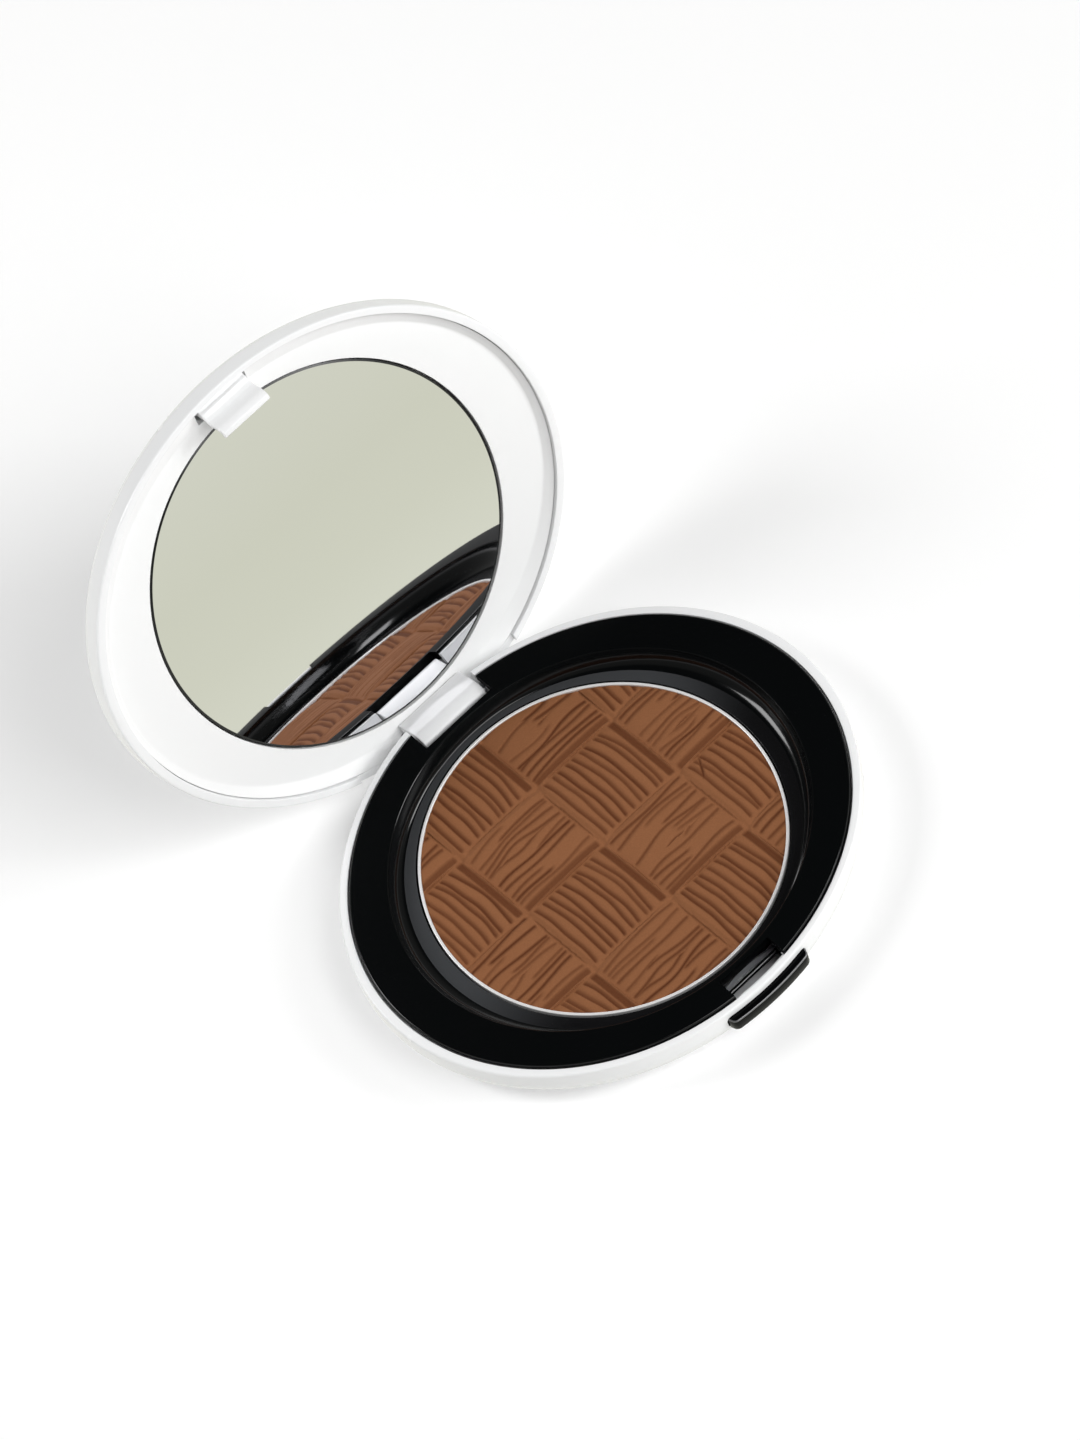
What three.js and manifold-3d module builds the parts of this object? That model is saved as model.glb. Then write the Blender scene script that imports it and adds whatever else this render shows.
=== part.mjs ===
// Oval powder compact with a round pan of pressed powder and a round mirror in its lid.
// Millimetres, +Z up. X runs along the hinge, +Y points to the hinge at the rear, and the
// origin is the centre of the base's flat underside. The lid is drawn closed and then turned
// open about the hinge pin, which is how the compact stands at rest.
import * as THREE from "three";
import { mergeVertices } from "three/addons/utils/BufferGeometryUtils.js";
import Module from "manifold-3d";

const wasm = await Module();
wasm.setup();

// ---- Driving dimensions -------------------------------------------------------------------
const SEGMENTS = 72;

// The oval shared by the base and the lid. Radii up to ROUND_R stay round, for the pan and the
// mirror, and larger ones are drawn in along Y until HALF_LENGTH in X meets HALF_WIDTH in Y.
const HALF_LENGTH = 44.0;
const HALF_WIDTH = 38.25;
const ROUND_R = 30;
const MID_R = 35;
const MID_WIDTH = 32.2;

// Base shell.
const BASE_FLAT_R = 34.5;
const BASE_BEND_Z = 6.0;
const BASE_RIM_Z = 9.0;
const BASE_FLOOR = 1.5;
const BASE_INNER_R = 41.4;
const RIM_INNER_R = 42.4;
const RIM_OUTER_R = 43.55;
const LEDGE_Z = 8.0;

// Inner tray: the black deck, its bowl and the well for the pan.
const DECK_Z = 9.5;
const DECK_R = 42.1;
const BOWL_R = 35.1;
const BOWL_FRONT = 32.2;
const BOWL_REAR = 31.7;
const BOWL_FLOOR_Z = 6.0;
const BOWL_FLOOR_R = 32.0;
const WELL_R = 29.8;
const WELL_FLOOR_Z = 2.3;
const TRAY_WALL = 1.0;

// Pan and powder.
const PAN_R = 29.5;
const PAN_WALL = 0.5;
const PAN_BOTTOM_Z = 2.5;
const PAN_BASE = 0.4;
const PAN_RIM_Z = 6.15;
const POWDER_Z = 6.05;
const TILE_X = 16.3;
const TILE_Y = 15.2;
const TILE_X0 = 0.5;
const TILE_Y0 = 0.8;
const GROOVE_DEPTH = 0.3;

// Hinge.
const HINGE_Y = 35.4;
const HINGE_Z = 5.9;
const OPEN_DEG = 115;
const PIN_R = 0.75;
const PIN_HALF = 10.5;
const LUG_HALF = 6.55;
const SLOT_HALF = 7.1;
const SLOT_Y = 32.5;
const SLOT_FLOOR_Z = 1.4;
const BARREL_R = 2.65;
const EAR_HALF = 11;
const ROLL_HALF = 17;
const BASE_ROLL_R = 4.0;
const LID_ROLL_R = 4.3;

// Latch.
const HOOK_HALF = 4.7;
const POCKET_HALF = 5.2;
const POCKET_Y = -33.0;
const BUTTON_HALF = 8.25;
const BUTTON_Z0 = 4.8;
const BUTTON_Z1 = 7.4;
const BUTTON_PROUD = 1.3;
const BUTTON_GAP = 0.2;

// Lid, mirror frame and mirror.
const LID_RIM_Z = 9.2;
const LID_BEND_Z = 12.2;
const LID_TOP_Z = 16.3;
const LID_INNER_R = 42.3;
const LID_ROOF_Z = 14.5;
const FRAME_R = 41.15;
const FRAME_WIDTH = 34.6;
const FRAME_EDGE_R = 42.0;
const FRAME_EDGE_WIDTH = 36.75;
const FRAME_EDGE_Z = 9.9;
const FRAME_FACE_Z = 10.95;
const MIRROR_R = 31.7;
const MIRROR_Z = 11.2;
const MIRROR_THICK = 1.2;

// ---- Shape helpers ------------------------------------------------------------------------
function solid(geometry) {
  const g = geometry.index ? geometry.toNonIndexed() : geometry.clone();
  g.deleteAttribute("normal");
  g.deleteAttribute("uv");
  const merged = mergeVertices(g, 1e-4);
  const mesh = new wasm.Mesh({
    numProp: 3,
    vertProperties: new Float32Array(merged.attributes.position.array),
    triVerts: new Uint32Array(merged.index.array),
  });
  return new wasm.Manifold(mesh);
}

function geometryOf(manifold) {
  const mesh = manifold.getMesh();
  const g = new THREE.BufferGeometry();
  g.setAttribute("position", new THREE.BufferAttribute(mesh.vertProperties.slice(), 3));
  g.setIndex(new THREE.BufferAttribute(mesh.triVerts.slice(), 1));
  const flat = g.toNonIndexed();
  flat.computeVertexNormals();
  return flat;
}

// Y half-width of the oval whose X half-length is r, through a list of [r, half-width] knots.
function widthAt(r, knots) {
  if (r <= knots[0][0]) {
    return (r * knots[0][1]) / knots[0][0];
  }
  let i = 1;
  while (i < knots.length - 1 && r > knots[i][0]) {
    i += 1;
  }
  const [r0, w0] = knots[i - 1];
  const [r1, w1] = knots[i];
  return w0 + ((w1 - w0) * (r - r0)) / (r1 - r0);
}

const OUTER = [[ROUND_R, ROUND_R], [MID_R, MID_WIDTH], [HALF_LENGTH, HALF_WIDTH]];
const TRAY_FRONT = [[ROUND_R, ROUND_R], [BOWL_R, BOWL_FRONT], [HALF_LENGTH, HALF_WIDTH]];
const TRAY_REAR = [[ROUND_R, ROUND_R], [BOWL_R, BOWL_REAR], [HALF_LENGTH, HALF_WIDTH]];
const FRAME = [[32.5, 32.5], [FRAME_R, FRAME_WIDTH], [FRAME_EDGE_R, FRAME_EDGE_WIDTH]];

// A turned body about Z from [r, z] points, drawn in along Y by the knots.
function turned(points, front = [[1, 1], [2, 2]], rear = front) {
  const closed = points[0][0] === 0 ? points : [...points, points[0]];
  const profile = closed.map(([r, z]) => new THREE.Vector2(r, z));
  const g = new THREE.LatheGeometry(profile, SEGMENTS);
  g.rotateX(Math.PI / 2);
  const p = g.attributes.position;
  for (let i = 0; i < p.count; i += 1) {
    const x = p.getX(i);
    const y = p.getY(i);
    const r = Math.hypot(x, y);
    const knots = y > 0 ? rear : front;
    const scale = r > 1e-6 ? widthAt(r, knots) / r : 1;
    p.setXYZ(i, x, y * scale, p.getZ(i));
  }
  return solid(g);
}

function box(x0, x1, y0, y1, z0, z1) {
  const g = new THREE.BoxGeometry(x1 - x0, y1 - y0, z1 - z0);
  g.translate((x0 + x1) / 2, (y0 + y1) / 2, (z0 + z1) / 2);
  return solid(g);
}

// A bar along X whose section is a list of [y, z] points.
function barX(points, x0, x1) {
  const shape = new THREE.Shape(points.map(([y, z]) => new THREE.Vector2(y, z)));
  const g = new THREE.ExtrudeGeometry(shape, { depth: x1 - x0, bevelEnabled: false });
  g.rotateX(Math.PI / 2);
  g.rotateZ(Math.PI / 2);
  g.translate(x0, 0, 0);
  return solid(g);
}

function rodX(radius, x0, x1, y, z, sides = 48) {
  const g = new THREE.CylinderGeometry(radius, radius, x1 - x0, sides);
  g.rotateZ(Math.PI / 2);
  g.translate((x0 + x1) / 2, y, z);
  return solid(g);
}

// A quarter of an ellipse from angle a0 to a1, as [r, z] points.
function arc(cr, cz, rr, rz, a0, a1, steps) {
  const points = [];
  for (let i = 0; i <= steps; i += 1) {
    const a = ((a0 + ((a1 - a0) * i) / steps) * Math.PI) / 180;
    points.push([cr + rr * Math.cos(a), cz + rz * Math.sin(a)]);
  }
  return points;
}

// A prism along Y through the wall, with rounded corners, for the button and its window.
function roundedBlock(halfX, z0, z1, corner, y0, y1) {
  const s = new THREE.Shape();
  s.moveTo(-halfX + corner, z0);
  s.lineTo(halfX - corner, z0);
  s.absarc(halfX - corner, z0 + corner, corner, -Math.PI / 2, 0, false);
  s.absarc(halfX - corner, z1 - corner, corner, 0, Math.PI / 2, false);
  s.absarc(-halfX + corner, z1 - corner, corner, Math.PI / 2, Math.PI, false);
  s.absarc(-halfX + corner, z0 + corner, corner, Math.PI, 1.5 * Math.PI, false);
  const settings = { depth: y1 - y0, bevelEnabled: false, curveSegments: 4 };
  const g = new THREE.ExtrudeGeometry(s, settings);
  g.rotateX(Math.PI / 2);
  g.translate(0, y1, 0);
  return solid(g);
}

// ---- Base shell ---------------------------------------------------------------------------
const bendR = HALF_LENGTH - BASE_FLAT_R;
const baseOutside = [
  [0, 0],
  ...arc(BASE_FLAT_R, BASE_BEND_Z, bendR, BASE_BEND_Z, -90, 0, 6),
  [HALF_LENGTH, BASE_RIM_Z - 0.45],
  [HALF_LENGTH - 0.12, BASE_RIM_Z - 0.15],
  [RIM_OUTER_R, BASE_RIM_Z],
];
const baseEnvelope = turned([...baseOutside, [0, BASE_RIM_Z]], OUTER);
const innerBend = BASE_INNER_R - BASE_FLAT_R;
const baseHollow = arc(BASE_FLAT_R, BASE_BEND_Z + 0.2, innerBend, 4.7, 0, -90, 4);
let baseSolid = turned(
  [
    ...baseOutside,
    [RIM_INNER_R, BASE_RIM_Z],
    [RIM_INNER_R, LEDGE_Z],
    [BASE_INNER_R, LEDGE_Z],
    ...baseHollow,
    [0, BASE_FLOOR],
  ],
  OUTER,
);

// Ears beside the hinge slot, with saddles open at the top for the pin.
for (const side of [-1, 1]) {
  const x0 = Math.min(side * SLOT_HALF, side * EAR_HALF);
  const x1 = Math.max(side * SLOT_HALF, side * EAR_HALF);
  const ear = box(x0, x1, 33, 38, 1, 7.6).intersect(baseEnvelope);
  baseSolid = baseSolid.add(ear);
}
const saddleR = PIN_R + 0.05;
const saddle = rodX(saddleR, -PIN_HALF - 0.1, PIN_HALF + 0.1, HINGE_Y, HINGE_Z).add(
  box(-PIN_HALF - 0.1, PIN_HALF + 0.1, HINGE_Y - saddleR, HINGE_Y + saddleR, HINGE_Z, 9.9),
);
const underDeck = box(-50, 50, -50, 50, 0, LEDGE_Z);
baseSolid = baseSolid.subtract(saddle.intersect(underDeck));

// The slot that the lid's lug turns in, and the rounded rear edge that the lid rolls round.
baseSolid = baseSolid.subtract(box(-SLOT_HALF, SLOT_HALF, SLOT_Y, 45, SLOT_FLOOR_Z, 12));
const rollCut = box(-ROLL_HALF, ROLL_HALF, HINGE_Y, 45, HINGE_Z, 12).subtract(
  rodX(BASE_ROLL_R, -ROLL_HALF - 1, ROLL_HALF + 1, HINGE_Y, HINGE_Z, 72),
);
baseSolid = baseSolid.subtract(rollCut);

// The window for the button.
const windowCut = roundedBlock(
  BUTTON_HALF + BUTTON_GAP,
  BUTTON_Z0 - BUTTON_GAP,
  BUTTON_Z1 + BUTTON_GAP,
  0.9,
  -45,
  -34,
);
baseSolid = baseSolid.subtract(windowCut);

// ---- Inner tray ---------------------------------------------------------------------------
const bowlRise = DECK_Z - BOWL_FLOOR_Z;
const bowlReach = BOWL_R - BOWL_FLOOR_R;
const bowlWall = arc(BOWL_FLOOR_R, DECK_Z, bowlReach, bowlRise, 0, -90, 7);
const underBowl = arc(
  BOWL_FLOOR_R + 0.5,
  DECK_Z - 0.6,
  bowlReach + 0.6,
  bowlRise + 0.4,
  -82,
  -12,
  4,
);
let traySolid = turned(
  [
    [0, BASE_FLOOR],
    [WELL_R + TRAY_WALL, BASE_FLOOR],
    [WELL_R + TRAY_WALL, 3.6],
    ...underBowl,
    [BOWL_R + 1.6, LEDGE_Z],
    [DECK_R, LEDGE_Z],
    [DECK_R, DECK_Z - 0.45],
    [DECK_R - 0.13, DECK_Z - 0.13],
    [DECK_R - 0.45, DECK_Z],
    ...bowlWall,
    [WELL_R, BOWL_FLOOR_Z],
    [WELL_R, WELL_FLOOR_Z],
    [0, WELL_FLOOR_Z],
  ],
  TRAY_FRONT,
  TRAY_REAR,
);
// Ribs that hold the pin down in its saddles.
for (const side of [-1, 1]) {
  const x0 = Math.min(side * (SLOT_HALF + 0.2), side * (PIN_HALF - 0.1));
  const x1 = Math.max(side * (SLOT_HALF + 0.2), side * (PIN_HALF - 0.1));
  const rib = box(x0, x1, HINGE_Y - 0.6, HINGE_Y + 0.6, HINGE_Z + PIN_R + 0.1, LEDGE_Z + 0.4);
  traySolid = traySolid.add(rib);
}
traySolid = traySolid.subtract(box(-SLOT_HALF, SLOT_HALF, SLOT_Y, 45, 0, 12));
traySolid = traySolid.subtract(rollCut);
traySolid = traySolid.subtract(box(-POCKET_HALF, POCKET_HALF, -45, POCKET_Y, 0, 12));
traySolid = traySolid.subtract(box(-8.8, 8.8, -45, -31.9, 1.6, 6.1));

// ---- Adhesive disc, pan and powder --------------------------------------------------------
const discSolid = turned([[0, WELL_FLOOR_Z], [26, WELL_FLOOR_Z], [26, PAN_BOTTOM_Z], [0, PAN_BOTTOM_Z]]);
const panInner = PAN_R - PAN_WALL;
const panSolid = turned([
  [0, PAN_BOTTOM_Z],
  [PAN_R - 0.5, PAN_BOTTOM_Z],
  [PAN_R, PAN_BOTTOM_Z + 0.5],
  [PAN_R, PAN_RIM_Z - 0.15],
  [PAN_R - 0.15, PAN_RIM_Z],
  [panInner + 0.1, PAN_RIM_Z],
  [panInner, PAN_RIM_Z - 0.1],
  [panInner, PAN_BOTTOM_Z + PAN_BASE],
  [0, PAN_BOTTOM_Z + PAN_BASE],
]);
const powderR = panInner - 0.02;
let powderSolid = turned([
  [0, PAN_BOTTOM_Z + PAN_BASE],
  [powderR, PAN_BOTTOM_Z + PAN_BASE],
  [powderR, POWDER_Z],
  [0, POWDER_Z],
]);
// A basket weave pressed into the powder: tiles with grooves along Y take turns with tiles
// whose grooves run along X, and a wider groove marks the edge where one strip goes under.
const grooves = [];
const grooveZ = POWDER_Z - GROOVE_DEPTH;
const aboveZ = POWDER_Z + 1;
for (let column = -2; column <= 1; column += 1) {
  for (let row = -2; row <= 1; row += 1) {
    const x0 = TILE_X0 + column * TILE_X;
    const y0 = TILE_Y0 + row * TILE_Y;
    const alongY = (column + row) % 2 === 0;
    const count = alongY ? 8 : 5;
    for (let i = 0; i < count; i += 1) {
      if (alongY) {
        const x = x0 + 2.6 + (i * (TILE_X - 5.6)) / (count - 1);
        grooves.push(box(x - 0.22, x + 0.22, y0 + 1.3, y0 + TILE_Y - 0.6, grooveZ, aboveZ));
      } else {
        const y = y0 + 3.0 + (i * (TILE_Y - 5.0)) / (count - 1);
        grooves.push(box(x0 + 0.9, x0 + TILE_X - 1.0, y - 0.2, y + 0.2, grooveZ, aboveZ));
      }
    }
    if (alongY) {
      grooves.push(box(x0 + TILE_X - 0.8, x0 + TILE_X, y0 + 0.4, y0 + TILE_Y, grooveZ, aboveZ));
    } else {
      grooves.push(box(x0, x0 + TILE_X - 0.9, y0, y0 + 0.8, grooveZ, aboveZ));
    }
  }
}
const reachR = powderR - 0.5;
const reach = turned([
  [0, grooveZ - 1],
  [reachR, grooveZ - 1],
  [reachR, aboveZ + 1],
  [0, aboveZ + 1],
]);
const weave = grooves.reduce((joined, groove) => joined.add(groove));
powderSolid = powderSolid.subtract(weave.intersect(reach));

// ---- Button and its leaf spring -----------------------------------------------------------
// The cap shows in the front wall. Two arms run in past the hook to a bar, and the hook's
// barb sits under that bar when the lid is shut, so pressing the cap lets the hook go.
const capOval = solid(
  new THREE.CylinderGeometry(1, 1, 20, 180)
    .rotateX(Math.PI / 2)
    .scale(HALF_LENGTH + BUTTON_PROUD, HALF_WIDTH + BUTTON_PROUD, 1),
);
const cap = roundedBlock(BUTTON_HALF, BUTTON_Z0, BUTTON_Z1, 0.7, -42, -35).intersect(capOval);
const bar = box(-BUTTON_HALF, BUTTON_HALF, -34.0, -33.2, 5.0, 5.9);
let buttonSolid = cap.subtract(box(-POCKET_HALF, POCKET_HALF, -36.6, -34, 0, 12)).add(bar);
for (const side of [-1, 1]) {
  const x0 = Math.min(side * (POCKET_HALF + 0.1), side * BUTTON_HALF);
  const x1 = Math.max(side * (POCKET_HALF + 0.1), side * BUTTON_HALF);
  buttonSolid = buttonSolid.add(box(x0, x1, -35.2, -33.2, BUTTON_Z0, 5.9));
  const stopX0 = Math.min(side * POCKET_HALF, side * 9.6);
  const stopX1 = Math.max(side * POCKET_HALF, side * 9.6);
  buttonSolid = buttonSolid.add(box(stopX0, stopX1, -34.9, -34.0, 4.6, 5.9));
  const legX0 = Math.min(side * 6.2, side * BUTTON_HALF);
  const legX1 = Math.max(side * 6.2, side * BUTTON_HALF);
  buttonSolid = buttonSolid.add(box(legX0, legX1, -34.1, -33.2, 2.6, 5.2));
}
const leafTop = [];
const leafBottom = [];
for (let i = 0; i <= 12; i += 1) {
  const x = -8 + (16 * i) / 12;
  const y = -31.2 - 1.65 * (x / 8) * (x / 8);
  leafTop.push(new THREE.Vector2(x, y));
  leafBottom.unshift(new THREE.Vector2(x, y - 0.25));
}
const leafShape = new THREE.Shape([...leafBottom, ...leafTop]);
const leafGeometry = new THREE.ExtrudeGeometry(leafShape, { depth: 1.6, bevelEnabled: false });
leafGeometry.translate(0, 0, 2.7);
const leafSolid = solid(leafGeometry);

// ---- Lid shell with its hook and hinge lug ------------------------------------------------
const lidRise = LID_TOP_Z - LID_BEND_Z;
const lidOutside = arc(MID_R, LID_BEND_Z, HALF_LENGTH - MID_R, lidRise, 0, 90, 6);
const lidInside = arc(34, LID_BEND_Z - 0.2, LID_INNER_R - 34, LID_ROOF_Z - LID_BEND_Z + 0.2, 90, 0, 4);
let lidSolid = turned(
  [
    [0, LID_ROOF_Z],
    ...lidInside,
    [LID_INNER_R, LID_RIM_Z],
    [RIM_OUTER_R, LID_RIM_Z],
    [HALF_LENGTH - 0.12, LID_RIM_Z + 0.15],
    [HALF_LENGTH, LID_RIM_Z + 0.45],
    ...lidOutside,
    [0, LID_TOP_Z],
  ],
  OUTER,
);
lidSolid = lidSolid.subtract(rodX(LID_ROLL_R, -ROLL_HALF, ROLL_HALF, HINGE_Y, HINGE_Z, 72));
const lug = barX(
  [
    [HINGE_Y - BARREL_R, HINGE_Z],
    [HINGE_Y + 2.6, HINGE_Z],
    [HINGE_Y + 2.5, 9.2],
    [HINGE_Y + 2.1, 12.3],
    [HINGE_Y - 0.4, 12.3],
    [HINGE_Y - 0.4, FRAME_FACE_Z - 0.3],
    [HINGE_Y - BARREL_R, FRAME_FACE_Z - 0.3],
  ],
  -LUG_HALF,
  LUG_HALF,
).add(rodX(BARREL_R, -LUG_HALF, LUG_HALF, HINGE_Y, HINGE_Z));
const hook = barX(
  [
    [-35.3, 13.1],
    [-37.3, 12.9],
    [-37.3, 9.5],
    [-36.5, 9.1],
    [-36.4, 8.6],
    [-35.2, 8.3],
    [-35.2, 4.6],
    [-34.5, 3.7],
    [-33.7, 3.7],
    [-33.3, 4.2],
    [-33.3, 4.6],
    [-34.25, 4.7],
    [-34.35, 7.6],
    [-35.3, 9.2],
  ],
  -HOOK_HALF,
  HOOK_HALF,
);
lidSolid = lidSolid.add(lug).add(hook);
lidSolid = lidSolid.subtract(rodX(PIN_R + 0.08, -LUG_HALF - 1, LUG_HALF + 1, HINGE_Y, HINGE_Z));

// ---- Mirror frame, mirror and its adhesive pad --------------------------------------------
const seatZ = MIRROR_Z + MIRROR_THICK + 1.0;
let frameSolid = turned(
  [
    [0, seatZ],
    [MIRROR_R + 0.3, seatZ],
    [MIRROR_R + 0.3, FRAME_FACE_Z + 0.12],
    [MIRROR_R + 0.42, FRAME_FACE_Z],
    [FRAME_R, FRAME_FACE_Z],
    [FRAME_EDGE_R - 0.1, FRAME_EDGE_Z],
    [FRAME_EDGE_R, FRAME_EDGE_Z + 0.1],
    [FRAME_EDGE_R, FRAME_FACE_Z + 1.1],
    [33.6, FRAME_FACE_Z + 1.5],
    [33.6, seatZ + 0.8],
    [0, seatZ + 0.8],
  ],
  FRAME,
);
frameSolid = frameSolid.subtract(box(-5.3, 5.3, -45, -33.9, 8, 16));
frameSolid = frameSolid.subtract(box(-7, 7, 34.5, 45, 8, 16));
const glassSolid = turned([
  [0, MIRROR_Z],
  [MIRROR_R - 0.15, MIRROR_Z],
  [MIRROR_R, MIRROR_Z + 0.15],
  [MIRROR_R, MIRROR_Z + MIRROR_THICK],
  [0, MIRROR_Z + MIRROR_THICK],
]);
const padZ = MIRROR_Z + MIRROR_THICK + 0.3;
const padSolid = turned([[0, padZ], [28, padZ], [28, padZ + 0.4], [0, padZ + 0.4]]);

// ---- Materials and assembly ---------------------------------------------------------------
function piece(name, manifold, color, roughness, metalness) {
  const material = new THREE.MeshStandardMaterial({ color, roughness, metalness });
  const mesh = new THREE.Mesh(geometryOf(manifold), material);
  mesh.name = name;
  return mesh;
}

const WHITE = 0xf2f2f0;
const BLACK = 0x141414;

const base = new THREE.Group();
base.name = "base";
base.add(piece("base_shell", baseSolid, WHITE, 0.25, 0));
base.add(piece("inner_tray", traySolid, BLACK, 0.35, 0));
base.add(piece("pan_adhesive_disc", discSolid, 0xd8d4c8, 0.8, 0));
base.add(piece("powder_pan", panSolid, 0xc8cacc, 0.3, 1));
base.add(piece("pressed_powder", powderSolid, 0x8b5e42, 0.9, 0));
base.add(piece("hinge_pin", rodX(PIN_R, -PIN_HALF, PIN_HALF, HINGE_Y, HINGE_Z), 0xb5b8bb, 0.35, 1));
base.add(piece("button_spring", leafSolid, 0xaeb2b6, 0.35, 1));

const latch = new THREE.Group();
latch.name = "latch";
latch.add(piece("push_button", buttonSolid, BLACK, 0.2, 0));

// Everything on the lid is drawn closed, moved so the pin is at the group's origin, and the
// group then stands at the pin and is turned open.
const lid = new THREE.Group();
lid.name = "lid";
const lidPieces = [
  piece("lid_shell", lidSolid, WHITE, 0.25, 0),
  piece("mirror_frame", frameSolid, WHITE, 0.35, 0),
  piece("mirror_glass", glassSolid, 0xdfe4e6, 0.02, 1),
  piece("mirror_adhesive_pad", padSolid, 0xd8d4c8, 0.8, 0),
];
for (const mesh of lidPieces) {
  mesh.geometry.translate(0, -HINGE_Y, -HINGE_Z);
  lid.add(mesh);
}
lid.position.set(0, HINGE_Y, HINGE_Z);
lid.rotation.x = (-OPEN_DEG * Math.PI) / 180;

const group = new THREE.Group();
group.name = "powder_compact";
group.add(base, latch, lid);

export default group;
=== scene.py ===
"""Looks of an oval powder compact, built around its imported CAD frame.

Shapes are drawn in millimetres in the CAD frame and made in metres. The lid's pieces are drawn
shut, as in the CAD source, and turned open about the hinge pin.
"""

import math

import bmesh
import bpy
import numpy as np
from mathutils import Matrix, Vector


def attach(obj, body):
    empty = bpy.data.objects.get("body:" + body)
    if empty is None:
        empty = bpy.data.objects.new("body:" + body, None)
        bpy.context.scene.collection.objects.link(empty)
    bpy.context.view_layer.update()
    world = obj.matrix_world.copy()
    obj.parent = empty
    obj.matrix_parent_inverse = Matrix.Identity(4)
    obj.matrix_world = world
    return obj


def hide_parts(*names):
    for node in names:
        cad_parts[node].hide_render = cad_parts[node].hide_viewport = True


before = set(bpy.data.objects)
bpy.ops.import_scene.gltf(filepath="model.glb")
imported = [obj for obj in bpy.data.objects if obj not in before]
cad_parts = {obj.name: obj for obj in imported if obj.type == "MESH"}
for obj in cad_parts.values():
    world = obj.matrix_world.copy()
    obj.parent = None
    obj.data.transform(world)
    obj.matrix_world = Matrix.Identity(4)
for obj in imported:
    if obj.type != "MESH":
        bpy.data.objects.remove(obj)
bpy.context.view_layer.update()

# ---- Driving sizes, in millimetres --------------------------------------------------------
# Most are the CAD model's own. The lid is drawn up to 0.03 mm inside the CAD lid, so that its
# finer curves stay in the CAD model's box.
MM = 0.001
HALF_LENGTH = 44.0
HALF_WIDTH = 38.25
FLAT_R = 20

BASE_THICK = 1.5
BASE_BEND_R = 34.5
BASE_BEND_Z = 6.0
RIM_Z = 9.0
RIM_INNER_R = 42.4
LEDGE_R = 41.4
LEDGE_Z = 8.0

DECK_R = 42.1
DECK_Z = 9.5
SHELF_Z = 6.0
RECESS_R = 29.8
RECESS_Z = 2.3

PAN_R = 29.5
PAN_INNER_R = 29.0
PAN_Z = 2.5
PAN_FLOOR_Z = 2.9
PAN_RIM_Z = 6.15
POWDER_R = 28.97
POWDER_Z = 6.05

HINGE_Y = 35.4
HINGE_Z = 5.9
OPEN_DEG = 115
SLOT_HALF = 7.1
SLOT_Y = 32.5
SLOT_FLOOR_Z = 1.4
EAR_HALF = 11.0
LUG_HALF = 6.55
BARREL_R = 2.65
BORE_R = 0.83
ROLL_HALF = 17
BASE_ROLL_R = 4.0
LID_ROLL_R = 4.3

BUTTON_HALF = 8.25
BUTTON_Z0 = 4.8
BUTTON_Z1 = 7.4
BUTTON_PROUD = 1.3
BUTTON_GAP = 0.2
BUTTON_REAR_Y = -35.3
ARM_Z1 = 5.9
POCKET_HALF = 5.2
POCKET_Y = -33.0
HOOK_HALF = 4.7

LID_R = 43.97
LID_RIM_Z = 9.2
LID_BEND_Z = 12.2
LID_TOP_Z = 16.28
LID_INNER_R = 42.3
LID_ROOF_Z = 14.5
FRAME_FACE_Z = 10.95
FRAME_SEAT_Z = 13.4
FRAME_BACK_Z = 14.2
FRAME_HOLE_R = 31.95
MIRROR_R = 31.7
MIRROR_Z = 11.2
MIRROR_BACK_Z = 12.4

# Cutters run past the base in front, behind and above.
PAST_Y = 46
PAST_Z = 12

OPEN_LID = (
    Matrix.Translation((0, HINGE_Y * MM, HINGE_Z * MM))
    @ Matrix.Rotation(math.radians(-OPEN_DEG), 4, "X")
    @ Matrix.Translation((0, -HINGE_Y * MM, -HINGE_Z * MM))
)

# ---- Camera -------------------------------------------------------------------------------
# Azimuth is from the button side, and the distance and the point aimed at are in metres.
CAMERA_LENS = 232.589
CAMERA_AZIMUTH = math.radians(-24.12)
CAMERA_ELEVATION = math.radians(58.47)
CAMERA_ROLL = math.radians(-22.1)
CAMERA_DISTANCE = 1.4702
CAMERA_AIM = Vector((0.01064, 0.02766, 0))
camera_data = bpy.data.cameras.new("camera")
camera_data.lens = CAMERA_LENS
camera_data.sensor_width = 36
camera_data.clip_start = 0.02
camera_data.clip_end = 20
camera = bpy.data.objects.new("camera", camera_data)
bpy.context.scene.collection.objects.link(camera)
turn = (
    Matrix.Rotation(CAMERA_AZIMUTH, 4, "Z")
    @ Matrix.Rotation(math.pi / 2 - CAMERA_ELEVATION, 4, "X")
    @ Matrix.Rotation(CAMERA_ROLL, 4, "Z")
)
camera.matrix_world = (
    Matrix.Translation(CAMERA_AIM) @ turn @ Matrix.Translation((0, 0, CAMERA_DISTANCE))
)
bpy.context.scene.camera = camera


# ---- Material helpers ---------------------------------------------------------------------
def new_material(name, color, roughness, metallic=0.0, **sockets):
    """A Principled material, its shader node and its node tree."""
    material = bpy.data.materials.new(name)
    material.use_nodes = True
    tree = material.node_tree
    shader = tree.nodes["Principled BSDF"]
    shader.inputs["Base Color"].default_value = (*color, 1)
    shader.inputs["Roughness"].default_value = roughness
    shader.inputs["Metallic"].default_value = metallic
    for socket, value in sockets.items():
        shader.inputs[socket.replace("_", " ")].default_value = value
    return material, shader, tree


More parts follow.
